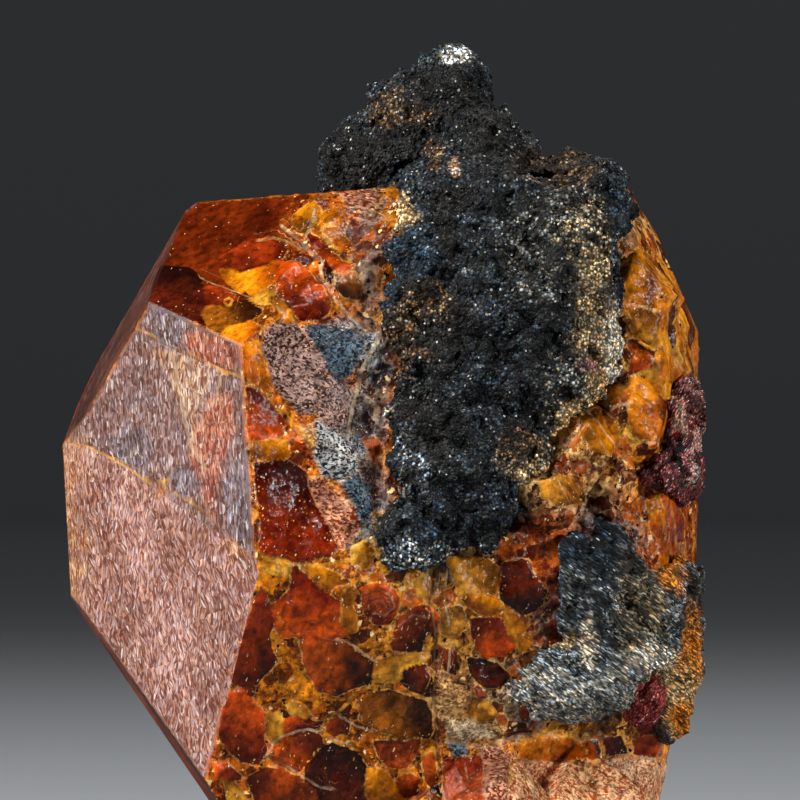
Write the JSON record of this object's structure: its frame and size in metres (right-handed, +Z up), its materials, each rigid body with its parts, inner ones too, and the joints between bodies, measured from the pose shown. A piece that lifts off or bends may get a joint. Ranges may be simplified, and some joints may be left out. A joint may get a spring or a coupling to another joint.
{
  "type": "spessartine garnet crystal",
  "caption": "Orange-red spessartine garnet crystal with flat left faces, a broken glittering front and dark granular sulphide matrix with rose-red rhodonite.",
  "frame": {"origin": "middle of the specimen's bounding box, at the flat broken underside it stands on", "axes": "+Z up to the tip of the dark crest, +X to the right in the picture, +Y away from the viewer"},
  "size_m": [0.0424, 0.0314, 0.0528],
  "materials": {
    "garnet": "vitreous orange-red crystal, deeply fractured",
    "dark_matrix": "granular, blue-black with a metallic glitter",
    "rhodonite": "granular rose-red, vitreous"
  },
  "bodies": {
    "root": {"garnet_crystal": "garnet", "dark_matrix_upper": "dark_matrix", "dark_matrix_lower": "dark_matrix", "dark_matrix_back": "dark_matrix", "rhodonite_seam": "rhodonite", "rhodonite_grain": "rhodonite"}
  },
  "joints": []
}
